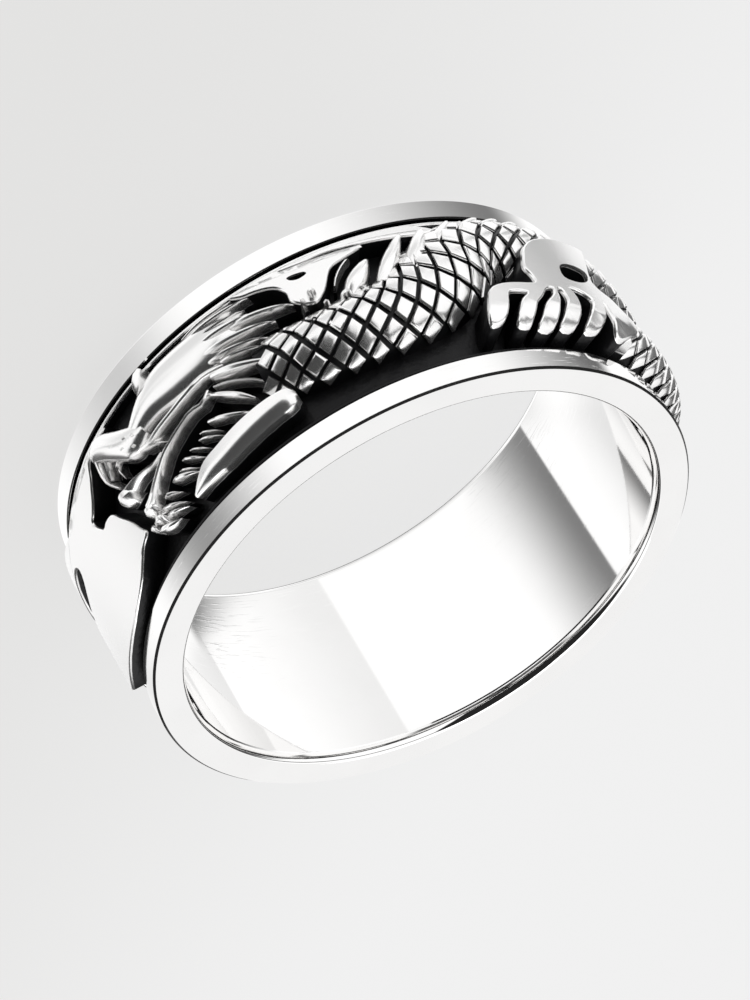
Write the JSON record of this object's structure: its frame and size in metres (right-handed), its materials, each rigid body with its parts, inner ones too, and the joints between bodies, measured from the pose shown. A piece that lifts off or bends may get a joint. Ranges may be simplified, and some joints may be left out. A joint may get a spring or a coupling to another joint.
{
  "type": "dragon spinner ring",
  "caption": "Finger ring whose outer band, cast as a scaled dragon chasing its fin tail, spins freely in the channel of a polished two-rimmed sleeve.",
  "frame": {"origin": "on the finger's axis, in the plane of the lower rim that the ring rests on", "axes": "+Z along the finger's axis, away from the surface the ring lies on; -Y towards the dragon's head, +X towards its fin tail"},
  "size_m": [0.0241, 0.0247, 0.0092],
  "materials": {
    "polished_silver": "mirror polished silver",
    "oxidised_silver": "polished silver relief with black oxidised recesses"
  },
  "bodies": {
    "sleeve_body": {"sleeve": "polished_silver"},
    "band_body": {"dragon_band": "oxidised_silver"}
  },
  "joints": [
    {"name": "band_spin", "type": "hinge", "parent": "sleeve_body", "child": "band_body", "pos_m": [0, 0, 0.0046], "axis": [0, 0, 1], "continuous": true}
  ]
}
